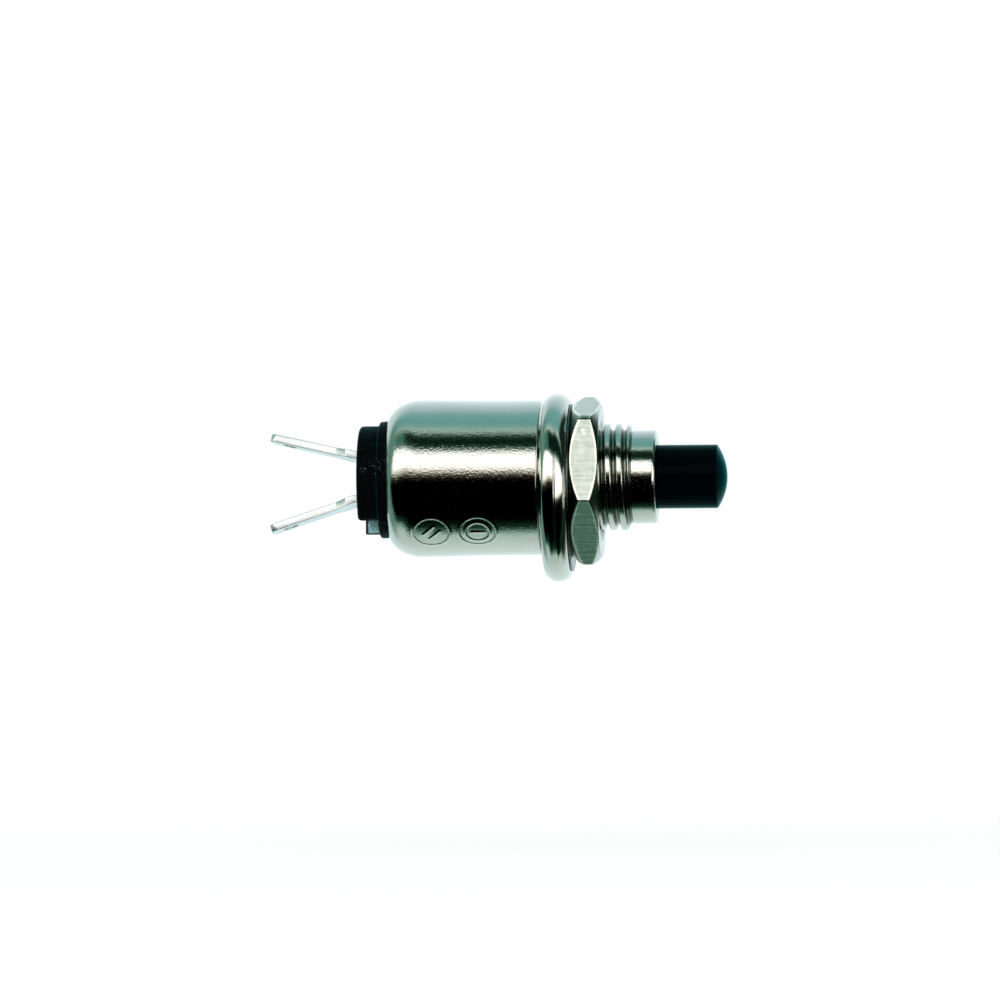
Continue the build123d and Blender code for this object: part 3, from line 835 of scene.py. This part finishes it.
# %% Button skin
(TAIL, *_), (TIP, *_) = node_box("button")
STEM, DOME, CORNER = 2.09, 0.66, 0.07
dome_radius = (STEM**2 + DOME**2) / (2 * DOME)
dome_r = np.linspace(0, STEM - 0.06, 26)
dome_x = TIP - dome_radius + np.sqrt(dome_radius**2 - dome_r**2)
SHOULDER, SHOULDER_FRONT, SHOULDER_BACK = 2.9, -1.41, -2.21
GROOVE_FRONT, GROOVE_BACK = -4.925, -5.255
HUB, GROOVE, HUB_BORE, BORE_END = 1.6, 1.3, 1.1, SHOULDER_BACK - 0.25
stem = rounded([
    (TIP - DOME + 0.05, STEM - 0.1, 0.0), (TIP - DOME, STEM, CORNER),
    (SHOULDER_FRONT, STEM, 0.04), (SHOULDER_FRONT, SHOULDER, 0.06),
    (SHOULDER_BACK, SHOULDER, 0.06), (SHOULDER_BACK, HUB, 0.04),
    (GROOVE_FRONT, HUB, 0.03), (GROOVE_FRONT, GROOVE, 0.03),
    (GROOVE_BACK, GROOVE, 0.03), (GROOVE_BACK, HUB, 0.03),
    (TAIL, HUB, 0.06), (TAIL, HUB_BORE, 0.04),
    (BORE_END, HUB_BORE, 0.04), (BORE_END, 0.0, 0.0)], closed=False)[1:]
grid = turned(np.concatenate([pairs(dome_x, dome_r), stem]), around(160))
dress(skin("button_skin", grid, sharp=60), "button", "plunger")

# %% [markdown]
# ## The base
#
# The base is a disc trapped in the can, with a flange, a boss with one flat, and a
# small key under that flat, drawn level. Each part is a turned grid whose radius may
# depend on the angle: for the boss it is the lesser of a circle and the flat, and for
# the key the lesser of the four sides of a box. The key's near side carries the patch of
# its painted highlight as an attribute.

# %% Base skin
BASE_FRONT, DISC_RADIUS, DISC_END = -8.01, 4.6, -9.6
FLANGE_END, FLANGE_RADIUS, FLANGE_EDGE, FLANGE_INNER = -10.70, 3.84, 0.18, 3.6
BOSS_END, BOSS_RADIUS, BOSS_FLAT, BOSS_EDGE = -12.03, 3.55, 2.66, 0.28
BOSS_BLEND, KEY_BLEND = 0.12, 0.1  # how round their upright corners are
SUNK = 0.1  # how far the boss and the key reach into what carries them
KEY_END, KEY_REACH, KEY_HALF, KEY_EDGE = -11.66, 3.59, 0.65, 0.16
BASE_PLAY, PLAY_START, PLAY_END = 0.07, 9.6, 10.1
# middle and half size of the painted highlight patch on the key's near side
GLINT_X, GLINT_Z, GLINT_HALF = -11.07, -3.08, 0.42


def prism(start, end, radius, corner):
    """A solid from x = start to end with a rounded edge at its start, as a grid.

    radius is one number for each angle. The outline shrinks by the corner's radius
    along a quarter circle towards the start, then straight to the pole. The side has
    some lines of its own, so that a mark can be kept there.
    """
    bend = np.linspace(np.pi / 2, 0, 7)
    side = np.linspace(start + corner + GUARD, end, 12)
    x = np.concatenate([[start, start], start + corner * (1 - np.sin(bend)), side, [end]])
    inset = np.concatenate([[0, corner + GUARD], corner * (1 - np.cos(bend)), 0 * side, [0]])
    r = radius[:, None] - inset
    r[:, [0, -1]] = 0
    return pairs(x, r)


def settle(grid):
    """Lower what shows behind the can by the base's play, eased in inside the lip."""
    lowered = grid.copy()
    lowered[..., 2] -= BASE_PLAY * smooth_step(-grid[..., 0], PLAY_START, PLAY_END)
    return lowered


# Where the key's painted highlight lies.
def gate_mark(grid):
    """1 inside a rounded rectangle on the key's near side, fading to 0 at its edge."""
    x, y, z = grid[..., 0], grid[..., 1], grid[..., 2]
    beside = np.maximum(np.abs(x - GLINT_X), np.abs(z - GLINT_Z)) - GLINT_HALF
    return (1 - smooth_step(beside, -0.06, 0.04)) * (y < -0.2)


angles = around(240)
rear_x, rear_r = can_rear(CAN_WALL + 0.03, 24)
within = rear_x < BASE_FRONT
edge = np.linspace(0, np.pi / 2, 6)
disc_x = np.concatenate([
    [BASE_FRONT, BASE_FRONT], rear_x[within], [DISC_END, FLANGE_END + FLANGE_EDGE + GUARD],
    FLANGE_END + FLANGE_EDGE * (1 - np.sin(edge)), [FLANGE_END, FLANGE_END]])
disc_r = np.concatenate([
    [0, DISC_RADIUS], rear_r[within], [FLANGE_RADIUS, FLANGE_RADIUS],
    FLANGE_RADIUS - FLANGE_EDGE * (1 - np.cos(edge)), [FLANGE_INNER, 0]])
disc = turned(pairs(disc_x, disc_r), angles)
downward = np.maximum(-np.sin(angles), 1e-3)
boss_radius = smooth_min(np.full(len(angles), BOSS_RADIUS), BOSS_FLAT / downward, BOSS_BLEND)
boss = turned(prism(BOSS_END, FLANGE_END + SUNK, boss_radius, BOSS_EDGE), angles)
key_middle = (BOSS_FLAT + KEY_REACH) / 2 - SUNK
across = KEY_HALF / np.maximum(np.abs(np.cos(angles)), 1e-3)
upright = (KEY_REACH - key_middle) / np.maximum(np.abs(np.sin(angles)), 1e-3)
key_radius = smooth_min(across, upright, KEY_BLEND)
key = turned(prism(KEY_END, FLANGE_END + SUNK, key_radius, KEY_EDGE), angles)
key[..., 2] -= key_middle
unmarked = np.zeros((disc.size + boss.size) // 3)
gate = np.concatenate([unmarked, gate_mark(key).ravel()])
base = skin("base_skin", settle(disc), settle(boss), settle(key), gate=gate)
dress(base, "base", "housing")

# %% [markdown]
# ## The lugs and the pieces inside
#
# The lugs are blanked strip with a bend and an eyelet, which the solids already hold.
# A merged copy gets a narrow bevel, because a blanked edge is rolled over a little and
# shines as a thin line. The pieces inside keep their solids and only wear a finish.

# %% Bevelled copies


def copied(node, name, flatten):
    """A merged copy of a CAD node in a piece of its own."""
    source = frame["nodes"][node]
    mesh = source.data.copy()
    mesh.transform(source.matrix_world)
    merge(mesh, 1e-7, flatten=flatten)
    mesh.materials.clear()
    return add_object(name, mesh)


def eased(node, width, body):
    """A merged copy of a CAD node with its sharp edges bevelled, in place of the node."""
    obj = copied(node, node + "_eased", True)
    bevel = obj.modifiers.new("edges", "BEVEL")
    bevel.width = width * MM
    bevel.segments = 3
    bevel.limit_method = "ANGLE"
    bevel.angle_limit = np.radians(30)
    bevel.harden_normals = True
    print(node, "copied with", len(obj.data.polygons), "faces")
    dress(obj, node, body)


for node in ("terminal_upper", "terminal_lower"):
    eased(node, 0.05, "housing")

# %% [markdown]
# The return spring stands on the base's post, and its front pushes on the end of the
# button's bore, so it shortens when the button goes in. Here it is a merged copy of its
# solid with the spring's finish, left at rest and tied to neither body.

# %% Return spring
spring = copied("return_spring", "return_spring_wire", False)
stand_for(spring, "return_spring")
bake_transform(spring)

# %% [markdown]
# ## Studio
#
# Polished metal shows its surroundings more than its own colour. Around the switch
# stands a light tent: a bright window low in front, dark room above and below it, and
# pale paper overhead, behind and underneath. It is painted into the world, by the
# angle around the button's axis, and only mirror-like rays see it. A dark bar parts the
# window from a second one, nearer the domed end, whose sill lies lower. Everything else
# is lit by a plain soft sky and one large lamp.
#
# The tent is a list of bands: an angle in degrees, from straight below at -90 to the
# front at 0, straight above at 90 and the back at 180, and the tone of the paper there.

# %% Light tent
TENT = (
    (-180, (0.86, 1.0, 1.05)),
    (-150, (0.75, 0.93, 0.96)),
    (-130, (0.69, 0.83, 0.85)),
    (-113, (0.63, 0.77, 0.75)),
    (-101, (0.52, 0.66, 0.63)),
    (-93, (0.46, 0.67, 0.62)),
    (-86, (0.10, 0.24, 0.19)),
    (-81, (0.008, 0.035, 0.022)),
    (-66, (0.0, 0.0, 0.0)),
    (-1, (0.0, 0.0, 0.0)),
    (6, (0.02, 0.02, 0.015)),
    (8.8, (0.20, 0.20, 0.155)),
    (11.2, (0.84, 0.82, 0.75)),
    (14.5, (1.5, 1.46, 1.42)),
    (19, (1.6, 1.6, 1.58)),
    (37.6, (1.6, 1.62, 1.62)),
    (41.4, (0.14, 0.32, 0.27)),
    (44.5, (0.02, 0.08, 0.06)),
    (49, (0.003, 0.012, 0.008)),
    (63, (0.006, 0.020, 0.014)),
    (68.3, (0.02, 0.07, 0.055)),
    (71.5, (0.34, 0.51, 0.45)),
    (74.5, (0.50, 0.68, 0.62)),
    (79, (0.28, 0.48, 0.45)),
    (87, (0.165, 0.43, 0.43)),
    (103, (0.19, 0.46, 0.47)),
    (111, (0.25, 0.49, 0.51)),
    (119, (0.40, 0.61, 0.64)),
    (130, (0.53, 0.72, 0.76)),
    (146, (0.70, 0.87, 0.93)),
    (163, (0.86, 1.02, 1.08)),
    (180, (0.86, 1.0, 1.05)),
)


# %% [markdown]
# The world's direction is a point (x, y, z) on a sphere: x runs towards the domed end
# and -y towards the front. Every zone of the tent is a smooth step of these, from 0
# outside to 1 inside, and two steps multiplied give a corner.

# %% Band angle
SECOND_WINDOW = 0.17  # place along the axis of the dark bar between the two windows
SECOND_DROP = 0.42  # radians that the sill of the second window lies below the first
END_DROP = 0.07  # the same for the first window, at the lug end
LOWER_RISE = 0.33  # radians that the paper underneath reaches up at the lug end
WRAP = 0.55  # how far the front of the tent reaches round the lug end


def band_angle(w, x, z, left, front):
    """The angle atan2(z, front), raised or lowered where the tent's edges slope.

    Past the dark bar, and a little at the lug end, angles near the sill are raised
    before the band is read, so the window reaches lower. At the lug end the paper
    underneath reaches up further.
    """
    angle = w.maths("ARCTAN2", z, front)
    past_bar = w.step(x, SECOND_WINDOW, SECOND_WINDOW + 0.05)
    sill = w.fade(angle, 0.1, 0.78)
    drop = w.maths("ADD", w.times(w.times(past_bar, sill), SECOND_DROP),
                   w.times(w.times(w.step(left, 0.5, 0.9), sill), END_DROP))
    angle = w.maths("ADD", angle, w.times(drop, w.step(front, -0.3, 0.1)))
    deep = w.step(w.times(z, -1.0), 0.4, 0.7)
    low_left = w.times(w.step(left, 0.3, 0.6), deep)
    return w.maths("SUBTRACT", angle, w.times(low_left, LOWER_RISE))


def bands(w, angle):
    """The tent's tone at an angle: a colour ramp over the full turn."""
    share = w.add("ShaderNodeMapRange", angle, -np.pi, np.pi, 0.0, 1.0).outputs[0]
    node = w.add("ShaderNodeValToRGB", share)
    stops = node.color_ramp.elements
    while len(stops) > 1:
        stops.remove(stops[-1])
    for index, (degrees, colour) in enumerate(TENT):
        position = (degrees + 180) / 360
        stop = stops[0] if index == 0 else stops.new(position)
        stop.position = position
        stop.color = (*colour, 1)
    return node.outputs["Color"]


# %% [markdown]
# Over the bands lie a few zones that break them up as a real room would: the dark bar
# between the windows, a haze above the lug end, a pale wall behind it, and another past
# the domed end. Each has a tone and a share, and is mixed in by that share.

# %% Tent zones
BAR_HALF, BAR_SOFT = 0.03, 0.06  # half of the dark bar's width, and its soft edge
BAR_TONE = (0.004, 0.012, 0.009)
HAZE = (0.06, 0.19, 0.155)
REAR_DARK, REAR_PALE = (0.13, 0.29, 0.235), (0.64, 0.82, 0.84)
END_DARK, END_PALE = (0.008, 0.022, 0.014), (0.75, 0.88, 0.86)
DISC_TONE = (0.50, 0.56, 0.53)


def tent_tone(w, x, y, z):
    """The tent's colour: bands round the axis, and zones laid over them.

    Both far ends have a tone of their own that grows paler towards the back, and a pale
    disc faces the domed end, so that flat front faces aren't black from there.
    """
    left = w.times(x, -1.0)
    reach = w.times(w.maths("MAXIMUM", w.maths("SUBTRACT", left, 0.1), 0.0), WRAP)
    front = w.maths("SUBTRACT", reach, y)
    height = w.maths("ABSOLUTE", z)

    bar = w.times(w.step(x, SECOND_WINDOW - BAR_HALF - BAR_SOFT, SECOND_WINDOW - BAR_HALF),
                  w.fade(x, SECOND_WINDOW + BAR_HALF, SECOND_WINDOW + BAR_HALF + BAR_SOFT))
    bar = w.times(bar, w.step(front, 0.1, 0.4))
    tent = w.blend(bar, bands(w, band_angle(w, x, z, left, front)), BAR_TONE)
    haze = w.times(w.step(left, 0.42, 0.6), w.step(z, 0.2, 0.45))
    tent = w.blend(1.0, tent, w.blend(haze, (0, 0, 0), HAZE), how="LIGHTEN")

    level = w.fade(height, 0.5, 0.85)
    jamb = w.maths("ADD", y, w.times(w.step(z, -0.05, 0.1), 0.2))
    behind_left = w.times(w.step(left, 0.3, 0.5), w.step(jamb, 0.0, 0.12))
    rear_tone = w.blend(w.step(y, 0.42, 0.66), REAR_DARK, REAR_PALE)
    tent = w.blend(w.times(behind_left, level), tent, rear_tone)

    low = w.times(w.step(w.times(z, -1.0), 0.0, 0.3), 0.3)
    pale = w.times(w.step(w.maths("ADD", y, low), 0.6, 1.0), w.step(height, 0.1, 0.3))
    past_end = w.times(w.step(x, 0.22, 0.4), w.step(y, 0.2, 0.5))
    past_end = w.times(past_end, w.fade(height, 0.1, 0.22))
    far_right = w.times(w.step(x, 0.45, 0.65), w.step(y, -0.3, -0.1))
    far_right = w.maths("MAXIMUM", far_right, past_end)
    tent = w.blend(far_right, tent, w.blend(pale, END_DARK, END_PALE))
    return w.blend(w.step(x, 0.965, 0.985), tent, DISC_TONE)


# %% [markdown]
# The Light Path node tells rays apart. Mirror-like rays see the tent, the camera sees
# plain white, and the soft rays that light matt surfaces see an even, pale sky.

# %% World


def build_world():
    """Sky, backdrop and light tent, told apart by the kind of ray that meets them."""
    world = bpy.data.worlds.new("studio")
    bpy.context.scene.world = world
    world.use_nodes = True
    w = Wires(world.node_tree)
    w.nodes.clear()
    tent = tent_tone(w, *w.axes(w.add("ShaderNodeTexCoord").outputs["Generated"]))
    rays = w.add("ShaderNodeLightPath").outputs
    sky, seen, paper = (
        w.add("ShaderNodeBackground", colour, strength).outputs[0]
        for colour, strength in (((0.92, 0.96, 1.0, 1), 0.6), (tent, 1.0), ((1, 1, 1, 1), 1.0)))
    shine = w.add("ShaderNodeMixShader", rays["Is Glossy Ray"], sky, seen).outputs[0]
    shown = w.add("ShaderNodeMixShader", rays["Is Camera Ray"], shine, paper).outputs[0]
    w.add("ShaderNodeOutputWorld", shown)
    world.cycles.sampling_method = "NONE"
    print("the tent has", len(TENT), "bands")


build_world()

# %% [markdown]
# One large soft lamp, above and in front, shapes the matt pieces and lays the faint
# shadow. Reflections don't see it, because the tent already holds the windows.

# %% Lamp


def soft_lamp(name, place, aim, size, power):
    """A square soft lamp turned to face a point, unseen in reflections."""
    light = bpy.data.lights.new(name, "AREA")
    light.size = size
    light.energy = power
    lamp = add_object(name, light)
    lamp.location = place
    lamp.rotation_euler = (Vector(aim) - Vector(place)).to_track_quat("-Z", "Y").to_euler()
    lamp.visible_glossy = False
    print(name, "lamp of", power, "watts")


soft_lamp("window", place=(-0.05, -0.25, 0.32), aim=(0, 0, 0), size=0.30, power=1.2)

# %% [markdown]
# The floor is pale paper under the switch. Seen by the camera it is mostly plain white,
# and keeps a faint shadow that fades away from the switch. Mirror-like rays pass
# through it to the tent.

# %% Floor
FLOOR_DROP = 18  # millimetres below the switch
FLOOR_HALF = 3.0  # metres
SHADOW_SPREAD = 9  # one over the radius, in metres, of the patch that keeps a shadow
SHADOW_SHARE = 0.12  # how much of the real paper shows in its middle


def paper_floor():
    """Pale paper: diffuse for light, nearly white for the camera, clear for reflections."""
    graph = Graph("pale_paper")
    graph.set(Base_Color=(0.93, 0.94, 0.94, 1), Roughness=0.9)
    white = graph.add("ShaderNodeEmission", (1, 1, 1, 1), 1.0).outputs[0]
    clear = graph.add("ShaderNodeBsdfTransparent").outputs[0]
    spot = graph.add("ShaderNodeTexGradient", graph.place((SHADOW_SPREAD, SHADOW_SPREAD, 0)),
                     gradient_type="SPHERICAL")
    keep = graph.ramp(spot.outputs["Fac"], 0.0, SHADOW_SHARE, 0.1, 0.7)
    rays = graph.add("ShaderNodeLightPath").outputs
    surface = graph.shader.outputs[0]
    seen = graph.add("ShaderNodeMixShader", keep, white, surface).outputs[0]
    lit = graph.add("ShaderNodeMixShader", rays["Is Camera Ray"], surface, seen).outputs[0]
    shown = graph.add("ShaderNodeMixShader", rays["Is Glossy Ray"], lit, clear).outputs[0]
    graph.feed(graph.nodes["Material Output"].inputs["Surface"], shown)
    return graph.material


floor_height = cad_box[0][2] - FLOOR_DROP * MM
corners = [(x * FLOOR_HALF, y * FLOOR_HALF, floor_height)
           for x, y in ((-1, -1), (1, -1), (1, 1), (-1, 1))]
mesh = bpy.data.meshes.new("floor")
mesh.from_pydata(corners, [], [(0, 1, 2, 3)])
floor = add_object("floor", mesh)
floor.data.materials.append(paper_floor())
floor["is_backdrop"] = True
print("the floor lies at z =", round(floor_height / MM, 2), "mm")

# %% [markdown]
# ## Camera
#
# A long lens from well back keeps the switch's sides nearly parallel. The camera looks
# almost square at the side, a few degrees towards the domed end, and leans a little.

# %% Camera
FRAME_WIDTH = 1000 / 15.2 * MM  # width of the view at the switch
DISTANCE = 0.6
AZIMUTH, ROLL = np.radians(4.3), np.radians(0.46)
SENSOR = 36
target = Vector((-2.83 * MM, 0, -1.441 * MM))
camera_data = bpy.data.cameras.new("camera")
camera_data.sensor_width = SENSOR
camera_data.lens = SENSOR * DISTANCE / FRAME_WIDTH
camera_data.clip_start = 0.01
camera_data.clip_end = 20
camera = add_object("camera", camera_data)
camera.location = target + DISTANCE * Vector((np.sin(AZIMUTH), -np.cos(AZIMUTH), 0))
level = (target - camera.location).to_track_quat("-Z", "Y").to_matrix()
camera.rotation_euler = (level @ Matrix.Rotation(-ROLL, 3, "Z")).to_euler()
bpy.context.scene.camera = camera
bpy.context.scene.view_settings.view_transform = "Standard"
print("the lens is", round(camera_data.lens), "mm long")

# %% [markdown]
# Dressing must not change the size of the switch. The CAD box and the box of the dressed
# switch are printed side by side.

# %% Size
visual_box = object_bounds()
sizes = {"cad": [list(v) for v in cad_box], "visual": [list(v) for v in visual_box]}
for name, box in sizes.items():
    print(name, "box in mm:", [[round(v / MM, 2) for v in corner] for corner in box])
